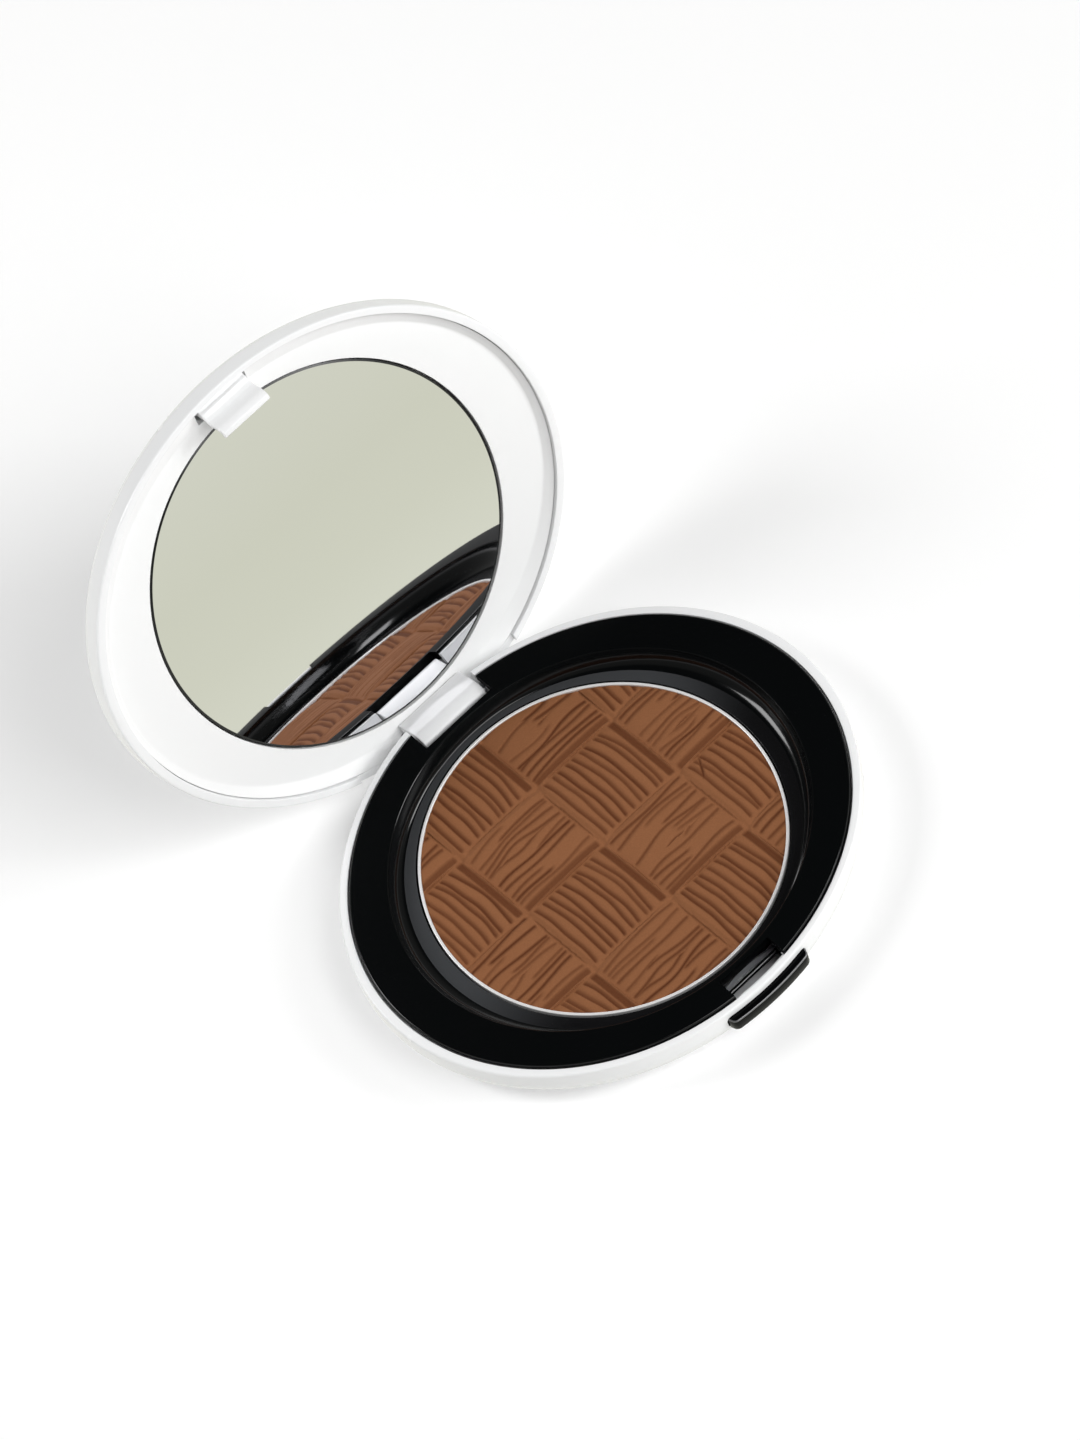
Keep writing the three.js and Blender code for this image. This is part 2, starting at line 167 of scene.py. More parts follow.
def noise_node(tree, scale, detail=3.0, roughness=0.5, stretch=(1, 1, 1)):
    """Noise laid out in the piece's own metres. Returns its grey output."""
    where = tree.nodes.new("ShaderNodeTexCoord")
    mapping = tree.nodes.new("ShaderNodeMapping")
    mapping.inputs["Scale"].default_value = stretch
    noise = tree.nodes.new("ShaderNodeTexNoise")
    noise.inputs["Scale"].default_value = scale
    noise.inputs["Detail"].default_value = detail
    noise.inputs["Roughness"].default_value = roughness
    tree.links.new(where.outputs["Object"], mapping.inputs["Vector"])
    tree.links.new(mapping.outputs["Vector"], noise.inputs["Vector"])
    return noise.outputs["Fac"]


def ranged(tree, source, low, high):
    """Maps a 0 to 1 source to low..high."""
    node = tree.nodes.new("ShaderNodeMapRange")
    node.inputs["To Min"].default_value = low
    node.inputs["To Max"].default_value = high
    tree.links.new(source, node.inputs["Value"])
    return node.outputs["Result"]


def vary_roughness(tree, shader, scale, low, high):
    """Roughness that drifts between low and high over the surface."""
    tree.links.new(ranged(tree, noise_node(tree, scale), low, high), shader.inputs["Roughness"])


def add_bump(tree, shader, source, distance, strength=1.0):
    """Bump from a grey source, distance in metres."""
    bump = tree.nodes.new("ShaderNodeBump")
    bump.inputs["Distance"].default_value = distance
    bump.inputs["Strength"].default_value = strength
    tree.links.new(source, bump.inputs["Height"])
    tree.links.new(bump.outputs["Normal"], shader.inputs["Normal"])


def two_colors(tree, shader, source, first, second):
    """Base colour that goes from first to second as the source goes from 0 to 1."""
    mix = tree.nodes.new("ShaderNodeMix")
    mix.data_type = "RGBA"
    mix.inputs["A"].default_value = (*first, 1)
    mix.inputs["B"].default_value = (*second, 1)
    tree.links.new(source, mix.inputs["Factor"])
    tree.links.new(mix.outputs["Result"], shader.inputs["Base Color"])
    return mix


# ---- Materials ----------------------------------------------------------------------------
def plastic(name, color, low, high, bump, scale=900, specular=0.5):
    """Moulded plastic: nearly even colour, slightly uneven gloss and a very fine orange peel."""
    material, shader, tree = new_material(
        name, color, (low + high) / 2, Specular_IOR_Level=specular
    )
    vary_roughness(tree, shader, 60, low, high)
    add_bump(tree, shader, noise_node(tree, scale, 2.0), bump)
    return material


WHITE = plastic("white_gloss", (0.86, 0.865, 0.87), 0.2, 0.3, 0.000004)
BEZEL = plastic("bezel_satin", (0.88, 0.885, 0.885), 0.3, 0.4, 0.000004)
DECK = plastic("deck_satin", (0.0015, 0.0019, 0.0021), 0.36, 0.46, 0.000012, 2500, 0.04)
BOWL = plastic("bowl_gloss", (0.0015, 0.0019, 0.0021), 0.09, 0.14, 0.000003, specular=0.3)
# Painted reflection: the shelf fades from its own black to this grey towards the hinge, where the
# light lid would be seen in it.
SHELF_REFLECTION_GREY = (0.045, 0.047, 0.05)
SHELF_BLACK = (0.004, 0.004, 0.0045)
SHELF = plastic("shelf_gloss_painted_reflection", SHELF_REFLECTION_GREY, 0.2, 0.3, 0.000003, specular=0.3)
BUTTON = plastic("button_gloss", (0.0015, 0.0017, 0.002), 0.12, 0.18, 0.000003, specular=0.06)
# Painted highlight: the button's rounded edges are a lighter grey than its body, with a real
# stronger gloss as well.
PAINTED_HIGHLIGHT_EDGE = plastic("edge_painted_highlight", (0.1, 0.1, 0.105), 0.15, 0.22, 0.000003, specular=1.0)


def paint_shelf_reflection():
    """Painted reflection: the shelf is greyer towards the hinge, standing in for the light lid's
    reflection, and blacker towards the button.
    """
    tree = SHELF.node_tree
    where = tree.nodes.new("ShaderNodeTexCoord")
    along = tree.nodes.new("ShaderNodeVectorMath")
    along.operation = "DOT_PRODUCT"
    along.inputs[1].default_value = (-0.3, 0.95, 0)
    reflection_fade = tree.nodes.new("ShaderNodeMapRange")
    reflection_fade.interpolation_type = "SMOOTHSTEP"
    reflection_fade.inputs["From Min"].default_value = -0.012
    reflection_fade.inputs["From Max"].default_value = 0.01
    tree.links.new(where.outputs["Object"], along.inputs[0])
    tree.links.new(along.outputs["Value"], reflection_fade.inputs["Value"])
    shader = tree.nodes["Principled BSDF"]
    two_colors(tree, shader, reflection_fade.outputs["Result"], SHELF_BLACK, SHELF_REFLECTION_GREY)


paint_shelf_reflection()


def metal(name, color, low, high, metallic=1.0):
    """Metal with uneven gloss and fine marks drawn out along the surface."""
    material, shader, tree = new_material(name, color, (low + high) / 2, metallic)
    vary_roughness(tree, shader, 400, low, high)
    add_bump(tree, shader, noise_node(tree, 1500, 2.0, stretch=(1, 1, 6)), 0.000004)
    return material


PAN = metal("pan_metal", (0.95, 0.945, 0.94), 0.3, 0.42, 0.35)
STEEL = metal("steel", (0.62, 0.63, 0.65), 0.25, 0.4)

MIRROR, mirror_shader, mirror_tree = new_material("mirror_silver", (0.92, 0.925, 0.95), 0.012, 1.0)
vary_roughness(mirror_tree, mirror_shader, 30, 0.008, 0.022)
EDGE, edge_shader, edge_tree = new_material("mirror_edge", (0.004, 0.005, 0.005), 0.25)
vary_roughness(edge_tree, edge_shader, 300, 0.2, 0.35)

POWDER_TOP = (0.245, 0.098, 0.041)
# Painted shade: the powder turns to this darker colour in its grooves and dips.
POWDER_GROOVE_SHADE = (0.095, 0.027, 0.008)


def pressed_powder():
    """Matt powder with painted shade in its grooves and dips, and a fine speckle and grain."""
    material, shader, tree = new_material(
        "pressed_powder", POWDER_TOP, 0.85, Specular_IOR_Level=0.15
    )
    groove_shade = tree.nodes.new("ShaderNodeAttribute")
    groove_shade.attribute_name = "groove"
    grooved = two_colors(tree, shader, groove_shade.outputs["Fac"], POWDER_TOP, POWDER_GROOVE_SHADE)
    speckle = tree.nodes.new("ShaderNodeMix")
    speckle.data_type = "RGBA"
    speckle.blend_type = "MULTIPLY"
    speckle.inputs["Factor"].default_value = 1.0
    grain = ranged(tree, noise_node(tree, 3800, 4.0, 0.7), 0.8, 1.2)
    tree.links.new(grooved.outputs["Result"], speckle.inputs["A"])
    tree.links.new(grain, speckle.inputs["B"])
    tree.links.new(speckle.outputs["Result"], shader.inputs["Base Color"])
    add_bump(tree, shader, noise_node(tree, 5200, 5.0, 0.7), 0.00006, 0.6)
    return material


POWDER = pressed_powder()

ADHESIVE, adhesive_shader, adhesive_tree = new_material("adhesive", (0.6, 0.57, 0.5), 0.7)
vary_roughness(adhesive_tree, adhesive_shader, 200, 0.6, 0.8)


# ---- Mesh helpers -------------------------------------------------------------------------
def link_mesh(name, vertices, faces, materials, face_materials=None, smooth_deg=32):
    """A mesh object from millimetre vertices, smooth-shaded but for edges over smooth_deg."""
    mesh = bpy.data.meshes.new(name)
    mesh.from_pydata([Vector(v) * MM for v in vertices], [], faces)
    for material in materials:
        mesh.materials.append(material)
    if face_materials is not None:
        mesh.polygons.foreach_set("material_index", face_materials)
    obj = bpy.data.objects.new(name, mesh)
    bpy.context.scene.collection.objects.link(obj)
    shade(obj, smooth_deg)
    return obj


def shade(obj, smooth_deg=32):
    """Smooth shading but for edges over smooth_deg."""
    mesh = obj.data
    mesh.polygons.foreach_set("use_smooth", [True] * len(mesh.polygons))
    mesh.set_sharp_from_angle(angle=math.radians(smooth_deg))
    mesh.update()


def settle(obj):
    """Turns an object's modifiers into plain mesh."""
    graph = bpy.context.evaluated_depsgraph_get()
    mesh = bpy.data.meshes.new_from_object(obj.evaluated_get(graph))
    obj.modifiers.clear()
    old = obj.data
    obj.data = mesh
    bpy.data.meshes.remove(old)


def cut(obj, *cutters):
    """Cuts each cutter out of obj and removes the cutters."""
    for cutter in cutters:
        modifier = obj.modifiers.new("cut", "BOOLEAN")
        modifier.operation = "DIFFERENCE"
        modifier.solver = "EXACT"
        modifier.object = cutter
        settle(obj)
        bpy.data.objects.remove(cutter)
    shade(obj)


def soften(obj, width, segments=3, angle=35, edge=None):
    """Rounds the sharp edges of a piece, with a material of their own if one is given."""
    modifier = obj.modifiers.new("round", "BEVEL")
    if edge:
        obj.data.materials.append(edge)
        modifier.material = len(obj.data.materials) - 1
    modifier.width = width * MM
    modifier.segments = segments
    modifier.limit_method = "ANGLE"
    modifier.angle_limit = math.radians(angle)
    modifier.harden_normals = False
    settle(obj)
    shade(obj, 40)


def bend_corner(before, corner, after, radius, steps):
    """Points that round one corner of a ring profile."""
    before, corner, after = (np.array(p, float) for p in (before, corner, after))
    back = before - corner
    ahead = after - corner
    reach_back = min(radius, np.linalg.norm(back) * 0.49)
    reach_ahead = min(radius, np.linalg.norm(ahead) * 0.49)
    start = corner + back / np.linalg.norm(back) * reach_back
    end = corner + ahead / np.linalg.norm(ahead) * reach_ahead
    t = np.linspace(0, 1, steps + 1)[:, None]
    return list((1 - t) ** 2 * start + 2 * t * (1 - t) * corner + t**2 * end)


def rounded(rings, steps=5):
    """Rings (x half, front y half, rear y half, z, rounding) to plain rings with round corners."""
    out = []
    for i, ring in enumerate(rings):
        radius = ring[4] if len(ring) > 4 else 0
        if radius and 0 < i < len(rings) - 1:
            out += bend_corner(rings[i - 1][:4], ring[:4], rings[i + 1][:4], radius, steps)
        else:
            out.append(np.array(ring[:4], float))
    return out


def oval_body(name, rings, materials, material_of=None, sides=288):
    """A closed body whose every level is an oval, from rings that start and end on the axis,
    or that run round a section and close on themselves."""
    rings = rounded(rings)
    on_axis = rings[0][0] == 0
    angles = np.linspace(0, 2 * math.pi, sides, endpoint=False)
    vertices, faces, kinds = [], [], []
    starts = []
    for rx, front, rear, z in rings:
        starts.append(len(vertices))
        if rx == 0:
            vertices.append((0, 0, z))
            continue
        for a in angles:
            ry = rear if math.sin(a) > 0 else front
            vertices.append((rx * math.cos(a), ry * math.sin(a), z))
    pairs = list(zip(range(len(rings)), range(1, len(rings))))
    if not on_axis:
        pairs.append((len(rings) - 1, 0))
    for i, j in pairs:
        kind = material_of(rings[i], rings[j]) if material_of else 0
        for k in range(sides):
            n = (k + 1) % sides
            a, b = starts[i], starts[j]
            if rings[i][0] == 0:
                face = (a, b + k, b + n)
            elif rings[j][0] == 0:
                face = (a + k, b, a + n)
            else:
                face = (a + k, b + k, b + n, a + n)
            faces.append(face)
            kinds.append(kind)
    obj = link_mesh(name, vertices, faces, materials, kinds)
    face_out(obj)
    return obj


def face_out(obj):
    """Turns every face of a closed body outwards."""
    work = bmesh.new()
    work.from_mesh(obj.data)
    bmesh.ops.recalc_face_normals(work, faces=work.faces)
    work.to_mesh(obj.data)
    work.free()
    obj.data.update()


def block(name, x0, x1, y0, y1, z0, z1, material=None):
    """A six-sided block, for cutters and for pieces that are softened afterwards."""
    corners = [(x, y, z) for x in (x0, x1) for y in (y0, y1) for z in (z0, z1)]
    faces = [(0, 1, 3, 2), (4, 6, 7, 5), (0, 4, 5, 1), (2, 3, 7, 6), (0, 2, 6, 4), (1, 5, 7, 3)]
    return link_mesh(name, corners, faces, [material] if material else [])


def prism(name, vertices, material=None):
    """A closed prism from the points of one end followed by the same points of the other."""
    n = len(vertices) // 2
    faces = [tuple(range(n)), tuple(range(2 * n - 1, n - 1, -1))]
    faces += [(i, (i + 1) % n, n + (i + 1) % n, n + i) for i in range(n)]
    obj = link_mesh(name, vertices, faces, [material] if material else [])
    face_out(obj)
    return obj


def bar_x(name, outline, x0, x1, material=None):
    """A bar along X whose section is a closed outline of (y, z) points."""
    return prism(name, [(x, y, z) for x in (x0, x1) for y, z in outline], material)


def rod_x(name, radius, x0, x1, y, z, sides=96):
    """A round bar along X about the line at y and z."""
    outline = [
        (y + radius * math.cos(a), z + radius * math.sin(a))
        for a in np.linspace(0, 2 * math.pi, sides, endpoint=False)
    ]
    return bar_x(name, outline, x0, x1)


def plate_z(name, outline, z0, z1, material=None):
    """An upright prism from a closed outline of (x, y) points."""
    return prism(name, [(x, y, z) for z in (z0, z1) for x, y in outline], material)


def finish_piece(obj, body, slot, *nodes):
    """Puts a finished piece on its CAD body. Lid pieces are turned open first."""
    if body == "lid":
        obj.data.transform(OPEN_LID)
        obj.data.update()
    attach(obj, body)
    if nodes:
        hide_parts(*nodes)
    return obj


def oval_y(r):
    """Half-width of the case's oval at half-length r."""
    return float(np.interp(r, [0, 30, 35, HALF_LENGTH], [0, 30, 32.2, HALF_WIDTH]))


def ring(r, z, rounding=0.0):
    """A ring of the case's own oval, at half-length r."""
    return (r, oval_y(r), oval_y(r), z, rounding)


def quarter(r0, r1, z0, z1, steps, start_deg, end_deg):
    """Rings on a quarter of an ellipse about (r0, z0) that reaches r1 sideways and z1 in height."""
    out = []
    for a in np.radians(np.linspace(start_deg, end_deg, steps + 1)):
        c, s = math.cos(a), math.sin(a)
        y = oval_y(r0) + (oval_y(r1) - oval_y(r0)) * c
        out.append((r0 + (r1 - r0) * c, y, y, z0 + (z1 - z0) * abs(s)))
    return out


# ---- Base shell ---------------------------------------------------------------------------
def roll_corner(name):
    """The corner behind the hinge, outside the cylinder that the lid rolls round."""
    past_y = 45
    corner = [(past_y, HINGE_Z), (past_y, PAST_Z), (HINGE_Y, PAST_Z)]
    arc = [
        (HINGE_Y + BASE_ROLL_R * math.cos(a), HINGE_Z + BASE_ROLL_R * math.sin(a))
        for a in np.linspace(0, math.pi / 2, 24)
    ]
    return bar_x(name, corner + arc[::-1], -ROLL_HALF, ROLL_HALF)


base_rings = [
    (0, 0, 0, 0),
    ring(FLAT_R, 0),
    *quarter(BASE_BEND_R, HALF_LENGTH, BASE_BEND_Z, 0.0, 22, 270, 360),
    ring(HALF_LENGTH, RIM_Z, 0.55),
    ring(RIM_INNER_R, RIM_Z, 0.18),
    ring(RIM_INNER_R, LEDGE_Z),
    ring(LEDGE_R, LEDGE_Z),
    *quarter(BASE_BEND_R, LEDGE_R, BASE_BEND_Z + 0.2, BASE_THICK, 10, 0, -90),
    ring(FLAT_R, BASE_THICK),
    (0, 0, 0, BASE_THICK),
]
base = oval_body("case_base", base_rings, [WHITE])


def window_cutter():
    """The button's window through the front wall, with round corners."""
    corner = 1.0
    right = BUTTON_HALF + BUTTON_GAP - corner
    top = BUTTON_Z1 + BUTTON_GAP - corner
    bottom = BUTTON_Z0 - BUTTON_GAP + corner
    centres = ((right, top, 0), (-right, top, 90), (-right, bottom, 180), (right, bottom, 270))
    outline = [
        (cx + corner * math.cos(a), cz + corner * math.sin(a))
        for cx, cz, start in centres
        for a in np.radians(np.linspace(start, start + 90, 7))
    ]
    return prism("window_cutter", [(x, y, z) for y in (-PAST_Y, -34) for x, z in outline])


cut(
    base,
    block("slot_cutter", -SLOT_HALF, SLOT_HALF, SLOT_Y, PAST_Y, SLOT_FLOOR_Z, PAST_Z),
    roll_corner("roll_cutter"),
    window_cutter(),
)
finish_piece(base, "base", "white_plastic", "base_shell")

for side, name in ((-1, "hinge_ear_left"), (1, "hinge_ear_right")):
    x0, x1 = sorted((side * (SLOT_HALF + 0.05), side * EAR_HALF))
    outline = [
        (33.0, BASE_THICK), (36.2, BASE_THICK), (36.7, 3.2), (36.7, 6.6), (36.2, 6.6),
        (36.2, 5.1), (34.6, 5.1), (34.6, 7.6), (33.0, 7.6),
    ]
    ear = bar_x(name, outline, x0, x1, WHITE)
    finish_piece(ear, "base", "white_plastic", "base_shell")

# ---- Inner tray ---------------------------------------------------------------------------
# Each oval is half its length, then half its width in front and behind.
DECK_OVAL = (DECK_R, 36.95, 36.85)
BOWL_EDGE = (35.25, 32.32, 31.82)
BOWL_FOOT = (32.0, 30.86, 30.67)
BOWL_SPREAD = (3.1, 1.34, 1.03)
TRAY_FOOT_R = 30.8
# The deck's satin starts beyond the first of these half-lengths, its polished rim beyond the other.
SATIN_FROM_R = 35.2
POLISHED_FROM_R = 41.5


def round_ring(r, z, rounding=0.0):
    """A round ring."""
    return (r, r, r, z, rounding)


def bowl_ring(angle):
    """A ring of the bowl's curved wall, from its edge at 0 to its foot at a quarter turn."""
    spread = math.cos(angle)
    halves = [foot + reach * spread for foot, reach in zip(BOWL_FOOT, BOWL_SPREAD)]
    return (*halves, DECK_Z - (DECK_Z - SHELF_Z) * math.sin(angle))


tray_rings = [
    (0, 0, 0, BASE_THICK),
    round_ring(TRAY_FOOT_R, BASE_THICK),
    round_ring(TRAY_FOOT_R, 3.6),
    (33.5, 31.9, 31.7, 5.2),
    (36.5, 33.4, 32.6, LEDGE_Z),
    (*DECK_OVAL, LEDGE_Z),
    (*DECK_OVAL, DECK_Z, 0.5),
    (*BOWL_EDGE, DECK_Z, 0.3),
    *(bowl_ring(a) for a in np.radians(np.linspace(2, 88, 22))),
    (31.9, 30.8, 30.6, SHELF_Z),
    round_ring(RECESS_R, SHELF_Z, 0.1),
    round_ring(RECESS_R, RECESS_Z),
    (0, 0, 0, RECESS_Z),
]


def tray_material(one, other):
    """0 for the satin deck, 1 for the polished bowl and rim, 2 for the shelf round the pan, which
    has a painted reflection.
    """
    if max(one[0], other[0]) > SATIN_FROM_R:
        return 1 if min(one[0], other[0]) > POLISHED_FROM_R else 0
    level = max(abs(one[3] - SHELF_Z), abs(other[3] - SHELF_Z)) < 0.05
    return 2 if level else 1


tray = oval_body("tray", tray_rings, [DECK, BOWL, SHELF], tray_material)
cut(
    tray,
    block("slot_cutter", -SLOT_HALF, SLOT_HALF, SLOT_Y, PAST_Y, 0, PAST_Z, DECK),
    roll_corner("roll_cutter"),
    block("pocket_cutter", -POCKET_HALF, POCKET_HALF, -PAST_Y, POCKET_Y, 0, PAST_Z, DECK),
)
finish_piece(tray, "base", "black_tray", "inner_tray")

# ---- Pan ----------------------------------------------------------------------------------
pan_rings = [
    (0, 0, 0, PAN_Z),
    round_ring(PAN_R, PAN_Z, 0.5),
    round_ring(PAN_R, PAN_RIM_Z, 0.2),
    round_ring(PAN_INNER_R, PAN_RIM_Z, 0.2),
    round_ring(PAN_INNER_R, PAN_FLOOR_Z),
    (0, 0, 0, PAN_FLOOR_Z),
]
pan = oval_body("pan", pan_rings, [PAN])
finish_piece(pan, "base", "pan_metal", "powder_pan")

# ---- Pressed powder with its woven relief -------------------------------------------------
# The weave is a chequer of tiles WEAVE_X by WEAVE_Y, with a corner at WEAVE_X0 and WEAVE_Y0.
WEAVE_X = 16.6
WEAVE_Y = 15.2
WEAVE_X0 = 0.7
WEAVE_Y0 = 0.8
WEAVE_LEAN = 0.02
rng = np.random.default_rng(7)


def smoothstep(low, high, value):
    """0 below low and 1 above high, with a smooth rise between."""
    t = np.clip((value - low) / (high - low), 0, 1)
    return t * t * (3 - 2 * t)


def woven_relief(x, y):
    """Height in mm below the top of the cake, and how much painted shade each point gets in its
    grooves and dips, 0 to 1.
    """
    sx = x + WEAVE_LEAN * y
    column = np.floor((sx - WEAVE_X0) / WEAVE_X).astype(int)
    row = np.floor((y - WEAVE_Y0) / WEAVE_Y).astype(int)
    height = np.zeros_like(x)
    groove = np.zeros_like(x)
    for c in range(-2, 2):
        for r in range(-2, 2):
            inside = (column == c) & (row == r)
            a = (sx[inside] - WEAVE_X0) - c * WEAVE_X
            b = (y[inside] - WEAVE_Y0) - r * WEAVE_Y
            upright = (c + r) % 2 == 0
            if upright:
                tile, lines = upright_tile(a, b)
            else:
                tile, lines = level_tile(a, b)
            height[inside] = tile
            groove[inside] = lines
    return height, groove


def strip_shape(across, along, width, length):
    """A woven strip's own form: crowned along its length, rounded at its sides."""
    t = 2 * along / length - 1
    crown = -0.3 * t**2 - 0.4 * t**6
    side = np.minimum(across, width - across)
    edge = -0.3 * (1 - smoothstep(0.0, 0.9, side))
    return crown + edge


def ledge(offset, gentle, steep):
    """A groove with a gentle slope on its positive side and a steep wall on the other."""
    return np.exp(-((offset / np.where(offset > 0, gentle, steep)) ** 2))


def upright_tile(a, b):
    """Grooves along Y, bowed more and more towards the right, and a dip down the right edge."""
    height = strip_shape(a, b, WEAVE_X, WEAVE_Y)
    lines = np.zeros_like(a)
    t = 2 * b / WEAVE_Y - 1
    ends = smoothstep(0.3, 1.1, b) * (1 - smoothstep(WEAVE_Y - 0.7, WEAVE_Y - 0.1, b))
    count = 9
    spread = (np.arange(count) + rng.uniform(-0.22, 0.22, count)) / (count - 1)
    for position in 1.7 + (WEAVE_X - 4.6) * spread:
        lean = position / WEAVE_X
        bow = (0.15 + 0.9 * lean) * (1 - t**2) - 0.4 + rng.uniform(-0.2, 0.2) * t
        wave = 0.09 * np.sin(b * rng.uniform(0.5, 0.9) + rng.uniform(0, 6))
        line = rng.uniform(0.75, 1.0) * ledge(a - position - bow - wave, 0.5, 0.17) * ends
        lines = np.maximum(lines, line)
    if rng.random() < 0.6:
        slant = (a - 1.5) - 0.6 * (b - WEAVE_Y + 4.4)
        reach = smoothstep(WEAVE_Y - 4.6, WEAVE_Y - 3.6, b) * (1 - smoothstep(3.2, 4.4, a))
        lines = np.maximum(lines, ledge(slant, 0.3, 0.2) * reach)
    dip = smoothstep(WEAVE_X - 1.7, WEAVE_X - 1.15, a)
    dip = dip * (1 - smoothstep(WEAVE_X - 0.5, WEAVE_X - 0.05, a)) * ends
    # The second value is the painted shade in the grooves and the right-edge dip.
    return height - 0.3 * lines - 0.4 * dip, np.maximum(lines, 0.85 * dip)


def level_tile(a, b):
    """Grooves along X like wood grain, some of them short, and a dip down the front edge."""
    height = strip_shape(b, a, WEAVE_Y, WEAVE_X)
    lines = np.zeros_like(a)
    ends = smoothstep(0.2, 0.9, a) * (1 - smoothstep(WEAVE_X - 0.8, WEAVE_X - 0.2, a))
    knot_x, knot_y = rng.uniform(5, 11), rng.uniform(5, 10)
    near = np.exp(-(((a - knot_x) / 3.4) ** 2) - ((b - knot_y) / 3.2) ** 2)
    push = 0.9 * np.sign(b - knot_y) * near
    positions = np.linspace(1.9, WEAVE_Y - 1.0, 11) + rng.uniform(-0.35, 0.35, 11)
    for position in positions:
        kind = rng.integers(0, 4)
        start = rng.uniform(4, 9) if kind == 1 else -1.0
        stop = rng.uniform(7, 12) if kind == 2 else WEAVE_X + 2
        wave = 0.3 * np.sin(a * rng.uniform(0.22, 0.42) + rng.uniform(0, 6))
        offset = b - position - 0.03 * (a - 8) - wave - push
        reach = smoothstep(start, start + 1.4, a) * (1 - smoothstep(stop - 1.8, stop, a)) * ends
        line = rng.uniform(0.5, 1.0) * ledge(-offset, 0.45, 0.13) * reach
        lines = np.maximum(lines, line)
    dip = smoothstep(0.05, 0.45, b) * (1 - smoothstep(0.9, 1.5, b)) * ends
    # The second value is the painted shade in the grooves and the front-edge dip.
    return height - 0.26 * lines - 0.3 * dip, np.maximum(lines, 0.7 * dip)


def powder_cake():
    """The cake: a round sheet of n by n points with the relief, its wall and its underside."""
    n = 400
    u = np.linspace(-1, 1, n)
    gu, gv = np.meshgrid(u, u, indexing="xy")
    x = POWDER_R * gu * np.sqrt(1 - gv**2 / 2)
    y = POWDER_R * gv * np.sqrt(1 - gu**2 / 2)
    height, groove = woven_relief(x, y)
    rim = POWDER_R - np.hypot(x, y)
    height = height * smoothstep(-0.4, 0.5, rim) - 0.12 * (1 - smoothstep(0, 0.5, rim))
    vertices = np.stack([x, y, POWDER_Z + 0.04 + height], -1).reshape(-1, 3)
    index = np.arange(n * n).reshape(n, n)
    faces = np.stack(
        [index[:-1, :-1], index[:-1, 1:], index[1:, 1:], index[1:, :-1]], -1
    ).reshape(-1, 4)
    loop = np.concatenate([index[0, :-1], index[:-1, -1], index[-1, :0:-1], index[:0:-1, 0]])
    lower = np.arange(len(loop)) + n * n
    foot = vertices[loop].copy()
    foot[:, 2] = PAN_FLOOR_Z
    ahead = np.roll(np.arange(len(loop)), -1)
    walls = np.stack([loop, lower, lower[ahead], loop[ahead]], -1)
    vertices = np.concatenate([vertices, foot, [[0, 0, PAN_FLOOR_Z]]])
    centre = len(vertices) - 1
    floor = [(int(lower[i]), centre, int(lower[j])) for i, j in enumerate(ahead)]
    all_faces = [tuple(map(int, f)) for f in faces] + [tuple(map(int, f)) for f in walls] + floor
    obj = link_mesh("powder_cake", vertices, all_faces, [POWDER], smooth_deg=60)
    face_out(obj)
    # The groove attribute carries the painted shade into the powder's colour.
    values = np.zeros(len(vertices), np.float32)
    values[: n * n] = groove.reshape(-1)
    attribute = obj.data.attributes.new("groove", "FLOAT", "POINT")
    attribute.data.foreach_set("value", values)
    return obj


finish_piece(powder_cake(), "base", "powder", "pressed_powder")


# ---- Button -------------------------------------------------------------------------------
def button_outline():
    """Plan of the cap: its front follows the case's oval a little way out, with round corners."""
    corner = 1.1
    front = []
    for x in np.linspace(-BUTTON_HALF, BUTTON_HALF, 61):
        across = x / (HALF_LENGTH + BUTTON_PROUD)
        y = -(HALF_WIDTH + BUTTON_PROUD) * math.sqrt(1 - across**2)
        inset = max(0.0, abs(x) - (BUTTON_HALF - corner))
        front.append((x, y + corner - math.sqrt(max(corner**2 - inset**2, 0))))
    return front + [(BUTTON_HALF, BUTTON_REAR_Y), (-BUTTON_HALF, BUTTON_REAR_Y)]


button = plate_z("button_cap", button_outline(), BUTTON_Z0, BUTTON_Z1, BUTTON)
# The recess behind the cap leaves room for the hook when the button is pressed.
cut(button, block("recess_cutter", -POCKET_HALF, POCKET_HALF, -36.6, -34.0, 0, PAST_Z, BUTTON))
# The cap's rounded edges get the lighter grey of a painted highlight.
soften(button, 0.2, 3, edge=PAINTED_HIGHLIGHT_EDGE)
finish_piece(button, "button", "black_button", "push_button")
latch_bar = block(
    "button_bar", -BUTTON_HALF, BUTTON_HALF, -34.0, -33.35, 5.0, ARM_Z1, BUTTON
)
# The bar's rounded edges get the lighter grey of a painted highlight.
soften(latch_bar, 0.16, 3, edge=PAINTED_HIGHLIGHT_EDGE)
finish_piece(latch_bar, "button", "black_button", "push_button")
for side, name in ((-1, "button_arm_left"), (1, "button_arm_right")):
    x0, x1 = sorted((side * (POCKET_HALF + 0.1), side * BUTTON_HALF))
    arm = block(name, x0, x1, -35.6, -33.3, BUTTON_Z0, ARM_Z1, BUTTON)
    soften(arm, 0.12, 2)
    finish_piece(arm, "button", "black_button", "push_button")

